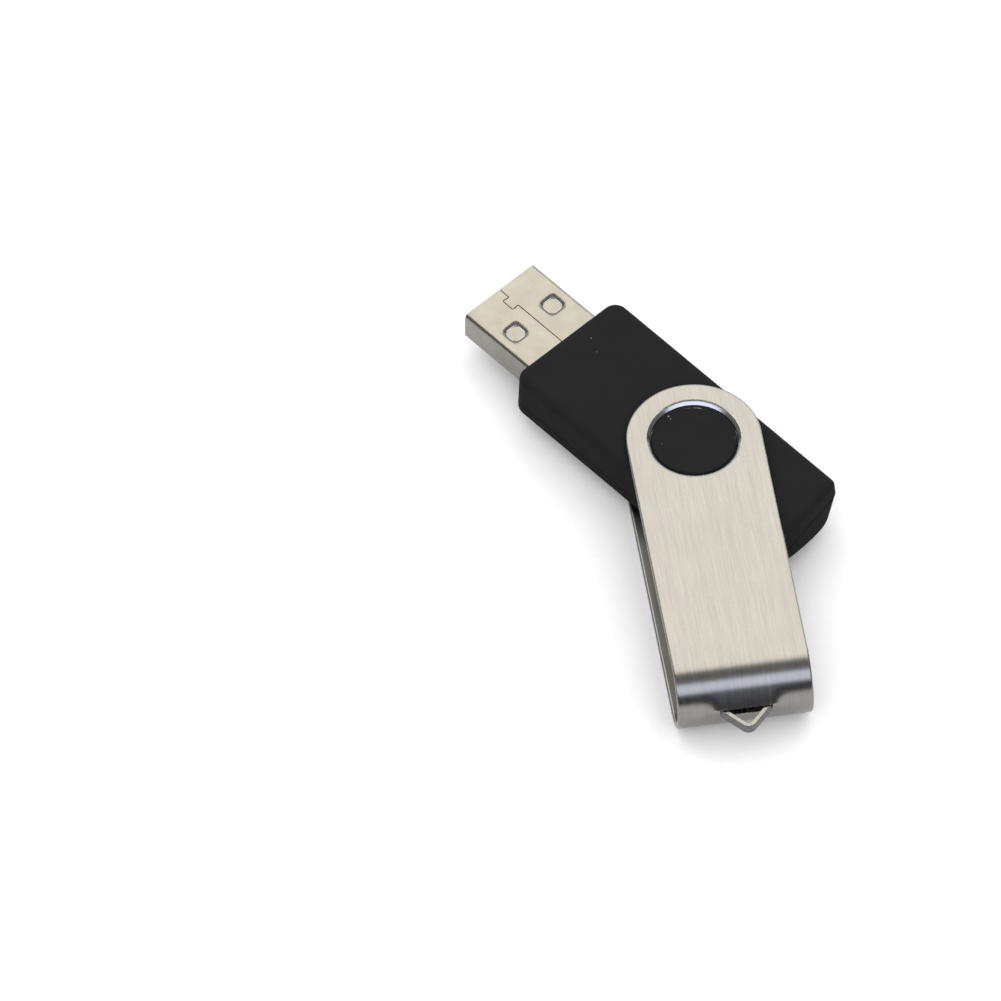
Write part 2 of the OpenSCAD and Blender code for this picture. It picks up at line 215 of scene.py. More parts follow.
class Sheet:
    """A bent sheet, as cells between points. A point has an outer, an inner and a flat-pattern place."""

    ROUNDED_FROM = math.radians(30)  # a rim edge that turns by less than this isn't rounded

    def __init__(self):
        self.points, self.cells = [], []

    def point(self, outer, inner, flat):
        self.points.append((outer, inner, flat))
        return len(self.points) - 1

    def cell(self, corners, material=0):
        self.cells.append((tuple(corners), material))

    def open_sides(self):
        """The cell sides that no other cell shares, in the order in which they were laid."""
        sides = {}
        for corners, _ in self.cells:
            for a, b in zip(corners, corners[1:] + corners[:1]):
                sides[(a, b)] = True
        return [(a, b) for a, b in sides if (b, a) not in sides]

    def to_bmesh(self, edge_material, edge_share):
        """edge_share holds the share of the edge rounding at a point's rim edges, where it isn't 1."""
        bm = bmesh.new()
        uv = bm.loops.layers.uv.new("flat_pattern")
        weight = bm.edges.layers.float.new("bevel_weight_edge")
        outer = [bm.verts.new(p[0]) for p in self.points]
        inner = [bm.verts.new(p[1]) for p in self.points]
        place = {}
        for i, p in enumerate(self.points):
            place[outer[i]] = place[inner[i]] = p[2]
        for corners, material in self.cells:
            bm.faces.new([outer[i] for i in corners]).material_index = material
            bm.faces.new([inner[i] for i in reversed(corners)]).material_index = material
        rim = self.open_sides()
        for a, b in rim:
            bm.faces.new((outer[b], outer[a], inner[a], inner[b])).material_index = edge_material
        bmesh.ops.recalc_face_normals(bm, faces=bm.faces)
        for a, b in rim:
            share = min(edge_share.get(a, 1.0), edge_share.get(b, 1.0))
            for side in (outer, inner):
                e = bm.edges.get((side[a], side[b]))
                if e.calc_face_angle(0) > self.ROUNDED_FROM:
                    e[weight] = share
        for f in bm.faces:
            for corner in f.loops:
                corner[uv].uv = place[corner.vert]
        return bm


# ---------------------------------------------------------------- material helpers

class Graph:
    """A material's node tree, with short ways to add nodes and link them."""

    def __init__(self, name, **sockets):
        self.material = bpy.data.materials.new(name)
        self.material.use_nodes = True
        self.tree = self.material.node_tree
        self.shader = self.tree.nodes["Principled BSDF"]
        self.set(self.shader, sockets)

    def set(self, node, sockets):
        """Sets or links a node's inputs, given by number or by name with _ for a space."""
        for key, value in sockets.items():
            socket = node.inputs[key.replace("_", " ")] if isinstance(key, str) else node.inputs[key]
            if isinstance(value, bpy.types.NodeSocket):
                self.tree.links.new(value, socket)
            else:
                socket.default_value = value

    def node(self, kind, sockets=None, **settings):
        node = self.tree.nodes.new("ShaderNode" + kind)
        for key, value in settings.items():
            setattr(node, key, value)
        self.set(node, sockets or {})
        return node

    def add(self, kind, sockets=None, out=0, **settings):
        """The given output of a new node."""
        return self.node(kind, sockets, **settings).outputs[out]

    def object_place(self):
        return self.add("TexCoord", out="Object")

    def flat_place(self):
        return self.add("UVMap", uv_map="flat_pattern")

    def scaled(self, vector, by):
        return self.add("VectorMath", {0: vector, 1: by}, operation="MULTIPLY")

    def noise(self, vector, scale, detail=3.0, rough=0.55):
        return self.add("TexNoise", {"Vector": vector, "Scale": scale, "Detail": detail, "Roughness": rough})

    def ramp(self, value, low, high, to_low=0.0, to_high=1.0):
        """value stretched from low..high to to_low..to_high, and held at those ends."""
        sockets = {"Value": value, "From_Min": low, "From_Max": high, "To_Min": to_low, "To_Max": to_high}
        return self.add("MapRange", sockets)

    def math(self, operation, a, b=0.0):
        return self.add("Math", {0: a, 1: b}, operation=operation)

    def mix(self, factor, a, b):
        """Colour a where the factor is 0 and b where it is 1. Each is a colour or a colour output."""
        node = self.node("Mix", data_type="RGBA")
        self.set(node, {0: factor})
        inputs = [s for s in node.inputs if s.type == "RGBA"]
        for socket, value in zip(inputs, (a, b)):
            if isinstance(value, bpy.types.NodeSocket):
                self.tree.links.new(value, socket)
            else:
                socket.default_value = (*value, 1.0)
        return next(s for s in node.outputs if s.type == "RGBA")

    def bump(self, height, distance, strength, normal=None):
        sockets = {"Height": height, "Distance": distance, "Strength": strength}
        if normal is not None:
            sockets["Normal"] = normal
        return self.add("Bump", sockets)

    def finish(self, **sockets):
        self.set(self.shader, sockets)
        return self.material


def specks(g, place, cell, radius, share):
    """1 inside sparse round specks: cells of the given size in metres, a share of which holds a speck."""
    voronoi = g.node("TexVoronoi", {"Vector": g.scaled(place, (1 / cell,) * 3), "Scale": 1.0})
    near = g.ramp(voronoi.outputs["Distance"], radius / cell * 0.6, radius / cell, 1.0, 0.0)
    red = g.add("SeparateXYZ", {0: voronoi.outputs["Color"]})
    return g.math("MULTIPLY", near, g.math("LESS_THAN", red, share))


def near_ring(g, x, y, radius, width, toward, spread):
    """1 on an arc round the swivel axis: near the radius, and in a direction near toward.

    spread is the cosine of the widest angle between the two directions.
    """
    r = g.math("SQRT", g.math("ADD", g.math("MULTIPLY", x, x), g.math("MULTIPLY", y, y)))
    off = g.math("ABSOLUTE", g.math("SUBTRACT", r, radius))
    on_ring = g.ramp(off, width * 0.3, width, 1.0, 0.0)
    lean = g.math("ADD", g.math("MULTIPLY", x, toward[0]), g.math("MULTIPLY", y, toward[1]))
    return g.math("MULTIPLY", on_ring, g.ramp(g.math("DIVIDE", lean, r), spread, spread + 0.02))


# ---------------------------------------------------------------- materials

def brushed_steel():
    """Fine and broad streaks along the strip, a shorter grain, and duller blotches."""
    dark, light, dulled = (0.218, 0.2095, 0.195), (0.304, 0.293, 0.273), (0.215, 0.206, 0.192)
    g = Graph("brushed_cover_steel", Metallic=1.0, Anisotropic=0.55)
    flat = g.flat_place()
    fine = g.noise(g.scaled(flat, (5.5, 0.16, 1.0)), 1.0, 4.0, 0.65)
    broad = g.noise(g.scaled(flat, (1.1, 0.03, 1.0)), 1.0, 3.0, 0.5)
    grain = g.noise(g.scaled(flat, (8.0, 2.2, 1.0)), 1.0, 3.0, 0.6)
    blotch = g.noise(g.object_place(), 160.0, 3.0, 0.5)
    streak = g.math("ADD", g.math("MULTIPLY", fine, 0.5), g.math("MULTIPLY", broad, 0.25))
    streak = g.math("ADD", streak, g.math("MULTIPLY", grain, 0.25))
    colour = g.mix(g.ramp(streak, 0.36, 0.64), dark, light)
    colour = g.mix(g.math("MULTIPLY", g.ramp(blotch, 0.35, 0.7), 0.22), colour, dulled)
    tangent = g.add("Tangent", direction_type="UV_MAP", uv_map="flat_pattern")
    return g.finish(Base_Color=colour, Roughness=g.ramp(streak, 0.3, 0.7, 0.27, 0.36), Tangent=tangent,
                    Normal=g.bump(fine, 0.000012, 0.35))


def uneven_metal(g, n, tones, roughness, bump, contrast=(0.3, 0.7)):
    """Bare metal whose colour between two tones, roughness and bump (height, strength) follow one noise."""
    return g.finish(Base_Color=g.mix(g.ramp(n, *contrast), *tones), Metallic=1.0,
                    Roughness=g.ramp(n, 0.3, 0.7, *roughness), Normal=g.bump(n, *bump))


def polished_edge():
    g = Graph("polished_sheet_edge")
    tones = ((0.17, 0.165, 0.16), (0.28, 0.272, 0.262))
    return uneven_metal(g, g.noise(g.object_place(), 2600.0, 4.0), tones, (0.2, 0.34), (0.00001, 0.3))


def drawn_steel():
    """Drawn along the loop, so its grain is longer across the strip."""
    g = Graph("drawn_loop_steel")
    grain = g.noise(g.scaled(g.flat_place(), (2.0, 7.0, 1.0)), 1.0, 4.0, 0.6)
    tones = ((0.1, 0.098, 0.095), (0.19, 0.186, 0.18))
    return uneven_metal(g, grain, tones, (0.24, 0.38), (0.00002, 0.3), (0.35, 0.65))


def coined_rim():
    g = Graph("coined_hole_rim")
    tones = ((0.37, 0.365, 0.36), (0.43, 0.425, 0.42))
    return uneven_metal(g, g.noise(g.object_place(), 1400.0, 3.0), tones, (0.2, 0.27), (0.00001, 0.2))


def boss_scuffs_and_highlight(g, place, x, y, z):
    """Two broken pale arcs on the upper boss, close to the hole's edge: partly scuffs, partly a painted
    highlight along the edge, the wider arc on the side away from the camera.
    """
    above_body = 0.0095
    # The first arc faces straight away from the camera, where the boss's edge catches light, so its pale
    # colour is painted highlight as well as scuffs.
    left = near_ring(g, x, y, 0.00494, 0.00006, (-0.725, 0.688), 0.95)
    right = near_ring(g, x, y, 0.0051, 0.00005, (0.66, 0.75), 0.994)
    breakup = g.ramp(g.noise(place, 1900.0, 3.0, 0.7), 0.46, 0.58)
    scuff_and_highlight = g.math("MULTIPLY", g.math("MAXIMUM", left, right), breakup)
    return g.math("MULTIPLY", scuff_and_highlight, g.math("GREATER_THAN", z, above_body))


def soft_black():
    """Matt rubbery paint, with dust, and scuffs mixed with a painted highlight on the boss, where it lies
    level.
    """
    # The pale grey colours the dust specks and also the boss's arcs, which are partly a painted highlight.
    dark, light, pale_dust_and_highlight = (0.0075, 0.0078, 0.0078), (0.0088, 0.0091, 0.0091), (0.3, 0.31, 0.32)
    g = Graph("soft_touch_black", Specular_IOR_Level=0.1)
    place = g.object_place()
    grain = g.noise(place, 5200.0, 3.0)
    cloud = g.noise(place, 240.0, 2.0)
    colour = g.mix(g.ramp(cloud, 0.3, 0.7), dark, light)
    x, y, z = g.node("SeparateXYZ", {0: place}).outputs
    facing = g.add("SeparateXYZ", {0: g.add("TexCoord", out="Normal")}, out=2)
    level = g.ramp(g.math("ABSOLUTE", facing), 0.6, 0.9)
    flat = g.scaled(place, (1.0, 1.0, 0.0))
    coarse = specks(g, flat, 0.0027, 0.00015, 0.45)
    fine = specks(g, g.scaled(flat, (0.7, 1.2, 0.0)), 0.0017, 0.00009, 0.35)
    dust = g.math("MULTIPLY", g.math("MAXIMUM", coarse, fine), 0.75)
    mark = g.math("MULTIPLY", g.math("MAXIMUM", dust, boss_scuffs_and_highlight(g, place, x, y, z)), level)
    return g.finish(Base_Color=g.mix(mark, colour, pale_dust_and_highlight), Roughness=g.ramp(grain, 0.3, 0.7, 0.78, 0.9),
                    Normal=g.bump(grain, 0.000006, 0.35))


def nickel():
    """Nickel plate with a faint cloud in its colour, and a fine grain over a pebbled surface."""
    g = Graph("nickel_plate", Metallic=1.0)
    place = g.object_place()
    grain = g.noise(place, 5200.0, 3.0, 0.6)
    cloud = g.noise(place, 420.0, 3.0)
    pebble = g.noise(place, 2300.0, 2.0, 0.5)
    colour = g.mix(g.ramp(cloud, 0.3, 0.7), (0.23, 0.219, 0.191), (0.262, 0.25, 0.219))
    return g.finish(Base_Color=colour, Roughness=g.ramp(grain, 0.3, 0.7, 0.22, 0.31),
                    Normal=g.bump(pebble, 0.00002, 0.24, g.bump(grain, 0.000006, 0.3)))


def plain(name, low, high, scale, rough, **sockets):
    """A moulded, fired or plated surface: a noise between two colours, uneven roughness and a fine grain."""
    g = Graph(name, **sockets)
    place = g.object_place()
    n = g.noise(place, scale, 3.0)
    grain = g.noise(place, scale * 6, 2.0)
    return g.finish(Base_Color=g.mix(g.ramp(n, 0.3, 0.7), low, high),
                    Roughness=g.ramp(grain, 0.3, 0.7, *rough), Normal=g.bump(grain, 0.000008, 0.3))


# The inner parts' materials: two colours, the scale of the noise between them, and the roughness's range
MOULDED = {
    "white_insulator": ((0.76, 0.75, 0.71), (0.83, 0.82, 0.78), 500.0, (0.4, 0.52)),
    "green_board": ((0.014, 0.12, 0.05), (0.03, 0.19, 0.085), 700.0, (0.3, 0.42)),
    "chip_epoxy": ((0.022, 0.022, 0.024), (0.035, 0.035, 0.037), 1800.0, (0.5, 0.65)),
    "crystal_ceramic": ((0.32, 0.29, 0.24), (0.4, 0.37, 0.32), 1500.0, (0.5, 0.6)),
    "capacitor_ceramic": ((0.36, 0.25, 0.14), (0.46, 0.33, 0.21), 1600.0, (0.45, 0.6)),
    "resistor_film": ((0.02, 0.02, 0.025), (0.04, 0.04, 0.048), 1600.0, (0.25, 0.35)),
    "led_resin": ((0.7, 0.12, 0.08), (0.85, 0.22, 0.15), 1200.0, (0.15, 0.25)),
}
PLATED = {
    "gold_contact": ((0.72, 0.52, 0.2), (0.86, 0.65, 0.29), 900.0, (0.18, 0.3)),
    "tin_plate": ((0.6, 0.61, 0.62), (0.72, 0.73, 0.74), 1500.0, (0.26, 0.4)),
    "solder": ((0.58, 0.59, 0.6), (0.74, 0.75, 0.76), 1400.0, (0.2, 0.36)),
}
looks = {
    "soft_touch_black": soft_black(),
    "brushed_cover_steel": brushed_steel(),
    "polished_sheet_edge": polished_edge(),
    "coined_hole_rim": coined_rim(),
    "drawn_loop_steel": drawn_steel(),
    "nickel_plate": nickel(),
}
looks.update({name: plain(name, *look) for name, look in MOULDED.items()})
looks.update({name: plain(name, *look, Metallic=1.0) for name, look in PLATED.items()})


# ---------------------------------------------------------------- swivel cover

BRUSHED, EDGE, DRAWN, COINED = range(4)  # the order of the cover's materials
EDGE_ROUND = 0.27
FINE_ROUND_SHARE = 0.25  # of EDGE_ROUND, for the edges of the loop and of the hole

BEND_R = cover_h / 2
BEND_X = COVER_REACH - BEND_R
BEND_LEN = math.pi * BEND_R
STRIP_LEN = 2 * BEND_X + BEND_LEN

RIM_W, RIM_D = 0.56, 0.45  # width and depth of the sloping wall of the hole's rolled edge
RIM_POLISHED = 0.06  # the roll is coined where it is deeper than this

# The loop is the band of the bend between a slit above it and the edge SLOT_LOW below it.
SLOT_HALF_W, SLOT_HALF_H, SLOT_GAP = 3.3, 0.65, 0.12
SLOT_RAISE = 0.45  # from the middle of the bend up to the middle of the band
SLOT_S = BEND_X + BEND_LEN / 2 - SLOT_RAISE
SLOT_LOW, SLOT_HIGH = SLOT_S + SLOT_HALF_H, SLOT_S - SLOT_HALF_H
SLOT_TOP = SLOT_HIGH - SLOT_GAP
BAND_T = 0.58
LOOP_REACH, LOOP_DROP, LOOP_TIP_R = 2.85, 0.3, 1.1
LOOP_CELLS = 56
LIP_OUT, LIP_RUN = 0.42, 2.2  # how far the sheet above the loop bulges, and over what length


def strip_point(s, v, depth, push=0.0):
    """A place on the strip: s along it from the swivel axis, v across it, depth below its outer face."""
    out = push - depth
    if s <= BEND_X:
        return (s, v, cover_h + out)
    a = (s - BEND_X) / BEND_R
    if a <= math.pi:
        return (BEND_X + (BEND_R + out) * math.sin(a), v, mid_z + (BEND_R + out) * math.cos(a))
    return (STRIP_LEN - s, v, -out)


def loop_outline():
    """The loop's outer face seen from above, as [out of the bend, across], from one root to the other."""
    tip = LOOP_REACH + LOOP_TIP_R * (math.sqrt(2) - 1)
    corners = [(0, tip + 0.9), (0, tip), (tip, 0), (0, -tip), (0, -tip - 0.9)]
    return rounded_path(corners, [0.7, LOOP_TIP_R, 0.7], 10)


loop_line = loop_outline()


def loop_rise(v):
    """How far out of the bend the loop's outline lies, v across the strip, beside its root or at it."""
    v = abs(v)
    best = 0.0
    for a, b in zip(loop_line, loop_line[1:]):
        if min(a.y, b.y) <= v <= max(a.y, b.y) and a.y > 0:
            best = max(best, a.x + (b.x - a.x) * (v - a.y) / ((b.y - a.y) or 1))
    return best


ROOT_RISE = loop_rise(SLOT_HALF_W)


def push_at(s, v):
    """Outward push of the cover's sheet, which bulges a little where the loop leaves it."""
    beside = max(0.0, abs(v) - SLOT_HALF_W)
    root = loop_rise(v) if abs(v) >= SLOT_HALF_W else ROOT_RISE * bell(SLOT_HALF_W - abs(v), 0.45)
    off = s - SLOT_S
    away = max(abs(off) - SLOT_HALF_H, 0.0)
    lip = 0.0
    if off < SLOT_HALF_H:
        near = max(0.0, 1 - max(away - SLOT_GAP, 0.0) / LIP_RUN)
        t = max(0.0, (off + SLOT_HALF_H) / (2 * SLOT_HALF_H))
        lip = LIP_OUT * near * near * bell(beside, 1.1) * (1 - t * t * (3 - 2 * t))
    return max(root * bell(away, 0.9), lip)


def cover_point(sheet, s, v):
    push = push_at(s, v)
    return sheet.point(strip_point(s, v, 0, push), strip_point(s, v, SHEET, push), (v, s))


def strip_lines():
    """Where the strip's grid lines lie, along it and across it. They are closer together round the loop."""
    half_v = [0, 0.6, 1.2, 1.8, 2.3, 2.7, 3.0, SLOT_HALF_W, 3.5, 3.7, 3.95, 4.3, 4.9, 5.8, 6.8, 7.6, 8.12,
              COVER_HALF_W]
    close = (0.08, 0.2, 0.35, 0.5, 0.7)
    bend_end = BEND_X + BEND_LEN
    s_at = steps(COVER_HALF_W, BEND_X - 0.6, 6) + [BEND_X - 0.2]
    s_at += steps(BEND_X, SLOT_TOP - 0.9, 22) + [SLOT_TOP - d for d in close]
    s_at += steps(SLOT_TOP, SLOT_HIGH, 3)[:-1] + steps(SLOT_HIGH, SLOT_LOW, 6) + [SLOT_LOW + d for d in close]
    s_at += steps(SLOT_LOW + 0.9, bend_end, 22)
    s_at += [bend_end + 0.2] + steps(bend_end + 0.6, STRIP_LEN - COVER_HALF_W, 6)
    return sorted(s_at), [-v for v in reversed(half_v[1:])] + half_v


def lay_strip(sheet, s_at, v_at):
    """The strip between the legs' round ends, open where the loop is. Returns its grid of points."""
    grid = {(i, j): cover_point(sheet, s, v) for i, s in enumerate(s_at) for j, v in enumerate(v_at)}
    for i in range(len(s_at) - 1):
        for j in range(len(v_at) - 1):
            s, v = (s_at[i] + s_at[i + 1]) / 2, (v_at[j] + v_at[j + 1]) / 2
            if not (SLOT_TOP < s < SLOT_LOW and abs(v) < SLOT_HALF_W):
                sheet.cell((grid[i, j], grid[i, j + 1], grid[i + 1, j + 1], grid[i + 1, j]))
    return grid


def leg_outline(v_at):
    """[s, v] round a leg's end: its joint with the strip, then its sides and its half circle."""
    side_s = [7.6, 6.6, 5.5, 4.4, 3.3, 2.2, 1.1, 0.0]
    outline = [(COVER_HALF_W, v) for v in v_at]
    outline += [(s, COVER_HALF_W) for s in side_s]
    outline += [(COVER_HALF_W * math.cos(a), COVER_HALF_W * math.sin(a))
                for a in steps(math.pi / 2, 3 * math.pi / 2, 40)[1:-1]]
    return outline + [(s, -COVER_HALF_W) for s in reversed(side_s)]


def hole_roll():
    """[radius, depth] of the outer face at the hole's rolled edge, from the hole outwards."""
    corners = [(HOLE_R + 0.9, 0), (HOLE_R + RIM_W, 0), (HOLE_R + 0.03, RIM_D), (HOLE_R, SHEET - 0.05)]
    roll = rounded_path(corners, [0.7, 0.12], 8)
    return [(p.x, p.y) for p in reversed(roll[1:])]


def lay_leg_end(sheet, joint, outline, upper):
    """A leg's round end, as rings from the hole to the outline. Returns the hole's ring.

    joint is the row of the strip's points that the outline starts with.
    """
    def on_strip(s):
        return s if upper else STRIP_LEN - s

    outer_ring = joint + [cover_point(sheet, on_strip(s), v) for s, v in outline[len(joint):]]
    rings = []
    roll = hole_roll()
    for r, depth in roll:
        ring = []
        for s, v in outline:
            a = math.atan2(v, s)
            place, across = on_strip(r * math.cos(a)), r * math.sin(a)
            outer, inner = strip_point(place, across, depth), strip_point(place, across, SHEET)
            ring.append(sheet.point(outer, inner, (across, place)))
        rings.append((ring, COINED if depth > RIM_POLISHED else BRUSHED))
    roll_r = roll[-1][0]
    for share in (0.12, 0.4):
        ring = []
        for s, v in outline:
            a, far = math.atan2(v, s), math.hypot(s, v)
            r = roll_r + (far - roll_r) * share
            ring.append(cover_point(sheet, on_strip(r * math.cos(a)), r * math.sin(a)))
        rings.append((ring, BRUSHED))
    rings.append((outer_ring, BRUSHED))
    n = len(outline)
    for (low, material), (high, _) in zip(rings, rings[1:]):
        for k in range(n):
            corners = (low[k], high[k], high[(k + 1) % n], low[(k + 1) % n])
            sheet.cell(corners if upper else tuple(reversed(corners)), material)
    return rings[0][0]


def loop_rows(s_at):
    """The numbers of the grid's rows that cross the loop's band."""
    return [i for i, s in enumerate(s_at) if abs(s - SLOT_S) <= SLOT_HALF_H + 1e-6]


def lay_loop(sheet, grid, s_at, v_at):
    """The lanced loop: the band of the strip, drawn out to a rounded tip. Returns all its points."""
    rows = loop_rows(s_at)
    left, right = v_at.index(SLOT_HALF_W), v_at.index(-SLOT_HALF_W)
    path = [Vector((ROOT_RISE, SLOT_HALF_W))]
    path += [p for p in loop_line if abs(p.y) < SLOT_HALF_W - 0.02]
    path.append(Vector((ROOT_RISE, -SLOT_HALF_W)))
    band = {}
    for k in range(LOOP_CELLS + 1):
        if k in (0, LOOP_CELLS):
            band.update({(k, m): grid[i, left if k == 0 else right] for m, i in enumerate(rows)})
            continue
        t = k / LOOP_CELLS
        p, d = along(path, t)
        normal = Vector((-d.y, d.x))
        if normal.x < 0:
            normal = -normal
        # The band thins from the sheet's thickness to its own over the first and last tenth of its length.
        q = p - normal * (SHEET + (BAND_T - SHEET) * min(1.0, min(t, 1 - t) / 0.1))
        for m, i in enumerate(rows):
            z = mid_z + SLOT_RAISE - LOOP_DROP * math.sin(math.pi * t) - (s_at[i] - SLOT_S)
            bend = COVER_REACH - (BEND_R - math.sqrt(BEND_R ** 2 - (z - mid_z) ** 2))
            band[k, m] = sheet.point((bend + p.x, p.y, z), (bend + q.x, q.y, z), (p.y, s_at[i]))
    for k in range(LOOP_CELLS):
        for m in range(len(rows) - 1):
            sheet.cell((band[k, m], band[k, m + 1], band[k + 1, m + 1], band[k + 1, m]), DRAWN)
    return list(band.values())


def edge_shares(grid, s_at, v_at, loop, holes):
    """The share of the edge rounding at the loop, the slot and the holes. It is 0 at the slot's corners."""
    share = dict.fromkeys(loop, FINE_ROUND_SHARE)
    share.update({grid[i, j]: FINE_ROUND_SHARE for i, s in enumerate(s_at) for j, v in enumerate(v_at)
                  if SLOT_TOP - 0.01 < s < SLOT_LOW + 0.01 and abs(v) < SLOT_HALF_W + 0.01})
    rows = loop_rows(s_at)
    for i in (rows[0], rows[-1]):
        for v in (-SLOT_HALF_W, SLOT_HALF_W):
            share[grid[i, v_at.index(v)]] = 0.0
    share.update(dict.fromkeys(holes, FINE_ROUND_SHARE))
    return share


def build_cover():
    sheet = Sheet()
    s_at, v_at = strip_lines()
    grid = lay_strip(sheet, s_at, v_at)
    outline = leg_outline(v_at)
    holes = []
    for upper, row in ((True, 0), (False, len(s_at) - 1)):
        joint = [grid[row, j] for j in range(len(v_at))]
        holes += lay_leg_end(sheet, joint, outline, upper)
    loop = lay_loop(sheet, grid, s_at, v_at)
    bm = sheet.to_bmesh(EDGE, edge_shares(grid, s_at, v_at, loop, holes))
    loose = [v for v in bm.verts if not v.link_faces]
    bmesh.ops.delete(bm, geom=loose, context="VERTS")
    names = ("brushed_cover_steel", "polished_sheet_edge", "drawn_loop_steel", "coined_hole_rim")
    build("cover_sheet", bm, "cover", ["swivel_cover"], [looks[n] for n in names],
          angle=38, bevel=EDGE_ROUND, bevel_steps=4, clamp=False, place=Matrix.Rotation(cover_turn, 4, "Z"))


build_cover()


# ---------------------------------------------------------------- body shells

REAR_ARC_R = 30.0
FRONT_R, REAR_R = 2.0, 0.7
WIDEST_Z, TOP_REAR_GAIN, LOW_REAR_GAIN = 6.5, 0.6, 5.4  # REAR_R grows above and below WIDEST_Z
BODY_Z1 = cover_h - BODY_GAP
BOSS_Z = top_high.z
BOSS_ROUND, BOSS_FOOT = 0.2, 0.05
WALL, LOWER_WALL = 1.0, 1.2  # LOWER_WALL is for the side walls of the lower shell
TOP_ROUND = 1.1
LEAN_IN, LEAN_RISE, FOOT = 0.9, 1.8, 0.3  # the lower walls lean in over LEAN_RISE and end in a small chamfer
DRAFT = 0.03
JOINT_UP, JOINT_DOWN, JOINT_RUN = 1.3, 0.8, 5.0
JOINT_GAP, JOINT_LIP = 0.02, 0.12  # half the gap between the shells, and the height of its rounded lip
OPENING_GAP = 0.06


def body_plan(inset, rear_r=REAR_R):
    """Outline of the body from above, moved in by inset, always with the same number of points."""
    half, front = body_half_w - inset, body_front - inset
    arc_r, arc_x = REAR_ARC_R - inset, body_rear - REAR_ARC_R
    front_r, rear_r = max(FRONT_R - inset, 0.1), max(rear_r - inset, 0.12)
    # The rear corner is a circle that touches the wall and the rear arc from inside.
    cy = half - rear_r
    cx = arc_x + math.sqrt((arc_r - rear_r) ** 2 - cy ** 2)
    arc_a = math.atan2(cy, cx - arc_x)
    side = [(arc_x + arc_r * math.cos(a), arc_r * math.sin(a)) for a in steps(0, arc_a, 14)]
    side += [(cx + rear_r * math.cos(a), cy + rear_r * math.sin(a))
             for a in steps(arc_a, math.pi / 2, 10)[1:]]
    fx = -(front - front_r)
    side += [(half * math.tan(a), half) for a in steps(math.atan2(cx, half), math.atan2(fx, half), 36)[1:-1]]
    side += [(fx + front_r * math.cos(a), half - front_r + front_r * math.sin(a))
             for a in steps(math.pi / 2, math.pi, 14)]
    side += [(-front, y) for y in steps(half - front_r, 0, 10)[1:]]
    return side + [(x, -y) for x, y in reversed(side[1:-1])]


def joint_z(y, upper):
    """Height of the joint, low on the stick's -Y side and high on its +Y side, in a shell's own drawing."""
    t = max(-1.0, min(1.0, (y if upper else -y) / JOINT_RUN))
    rise = (JOINT_UP if t > 0 else JOINT_DOWN) * math.sin(t * math.pi / 2)
    return mid_z + (rise if upper else -rise)


def upper_edge(draft):
    """The height where the upper shell's rounded edge starts, and [inset, z] of points over it."""
    turn_z = BODY_Z1 - TOP_ROUND
    return turn_z, [(draft(turn_z) + TOP_ROUND * (1 - math.cos(a)), turn_z + TOP_ROUND * math.sin(a))
                    for a in steps(0, math.pi / 2, 14)]


def lower_edge():
    """As upper_edge, for the leaning walls of the lower shell, which is drawn upside down."""
    turn_z = BODY_Z1 - LEAN_RISE - 0.5
    path = rounded_path([(0, turn_z), (0, BODY_Z1 - LEAN_RISE), (LEAN_IN, BODY_Z1 - FOOT),
                         (LEAN_IN + FOOT, BODY_Z1), (LEAN_IN + FOOT + 0.4, BODY_Z1)], [0.7, 0.5, 0.25], 6)
    return turn_z, [(p.x, p.y) for p in path]


def shell_bmesh(upper):
    """One half shell, drawn as the upper one; the lower one is drawn upside down."""
    rings = []
    base = body_plan(0)

    def real_z(z):
        return z if upper else cover_h - z

    def rear_radius(z):
        if real_z(z) > WIDEST_Z:
            return REAR_R + TOP_REAR_GAIN * (real_z(z) - WIDEST_Z) / (BODY_Z1 - WIDEST_Z)
        return REAR_R + LOW_REAR_GAIN * (WIDEST_Z - real_z(z)) / (WIDEST_Z - BODY_GAP)

    def draft(z):
        return max(0.0, DRAFT * (real_z(z) - BODY_GAP - LEAN_RISE))

    def above_joint(gap):
        return lambda y: joint_z(y, upper) + gap

    def ring(inset, z):
        """inset and z are numbers or functions: z of a point's y, inset of its z."""
        points, plans = [], {}
        for i, (x, y) in enumerate(base):
            height = z(y) if callable(z) else z
            into = inset(height) if callable(inset) else inset
            key = (round(into, 3), round(rear_radius(height), 2))
            if key not in plans:
                plans[key] = body_plan(*key)
            points.append((*plans[key][i], height))
        rings.append(points)

    def circle(r, z):
        rings.append([(r * math.cos(math.atan2(y, x)), r * math.sin(math.atan2(y, x)), z) for x, y in base])

    # Inside, from the cavity's roof to the joint, and then over the joint's lip
    cavity_in = WALL if upper else LOWER_WALL
    ring(cavity_in, BODY_Z1 - WALL)
    ring(cavity_in, above_joint(JOINT_GAP))
    ring(0.2, above_joint(JOINT_GAP))
    ring(0.07, above_joint(0.05))
    ring(lambda z: draft(z) + 0.01, above_joint(JOINT_LIP))
    # Outside, up the wall, over the edge and across the flat face to the boss
    turn_z, edge = upper_edge(draft) if upper else lower_edge()
    for t in (0.04, 0.2, 0.5, 0.8):
        ring(draft, lambda y: joint_z(y, upper) + JOINT_LIP + (turn_z - joint_z(y, upper) - JOINT_LIP) * t)
    for inset, z in edge:
        ring(inset, z)
    ring(edge[-1][0] + 0.15, BODY_Z1)
    circle(BOSS_R + 0.5, BODY_Z1)
    circle(BOSS_R + BOSS_FOOT, BODY_Z1)
    circle(BOSS_R, BODY_Z1 + BOSS_FOOT)
    for a in steps(0, math.pi / 2, 5):
        circle(BOSS_R - BOSS_ROUND * (1 - math.cos(a)), BOSS_Z - BOSS_ROUND * (1 - math.sin(a)))
    circle(BOSS_R - 0.5, BOSS_Z)
    bm = bmesh.new()
    loft(bm, rings)
    return bm


